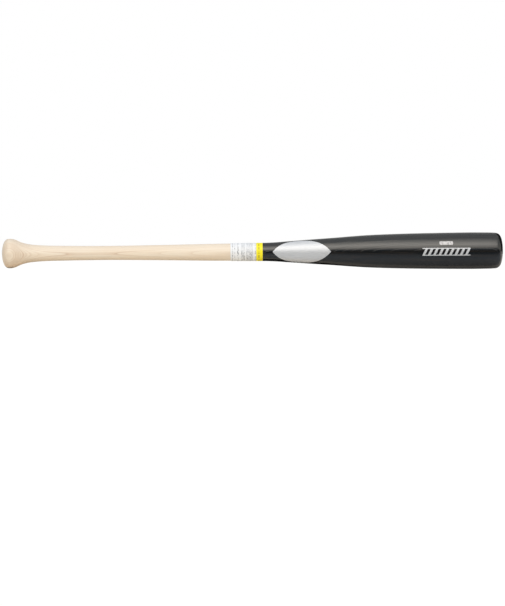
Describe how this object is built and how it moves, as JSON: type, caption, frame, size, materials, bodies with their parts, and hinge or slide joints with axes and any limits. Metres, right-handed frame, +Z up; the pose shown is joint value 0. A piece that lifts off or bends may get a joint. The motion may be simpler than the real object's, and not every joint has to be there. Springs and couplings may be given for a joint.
{
  "type": "baseball bat",
  "caption": "Turned wooden baseball bat on its side: bare pale handle with a flared knob, white label and yellow band, black lacquered barrel with plain silver foils.",
  "frame": {"origin": "on the surface that the bat lies on, under the middle of its length and on its centre line", "axes": "+X from the knob to the barrel's end, +Z up, and the foils face -Y. The turning axis rises by 0.44 degrees towards the barrel, because the bat lies on its knob and on the belly of its barrel."},
  "size_m": [0.8402, 0.062, 0.0616],
  "materials": {
    "bare_wood": "satin",
    "black_lacquer": "gloss",
    "white_film": "satin",
    "yellow_film": "satin",
    "silver_foil": "satin"
  },
  "bodies": {
    "root": {"billet": "bare_wood", "barrel_coat": "black_lacquer", "care_label": "white_film", "yellow_band": "yellow_film", "lens_foil": "silver_foil", "rope_foil": "silver_foil", "tab_foil": "silver_foil"}
  },
  "joints": []
}
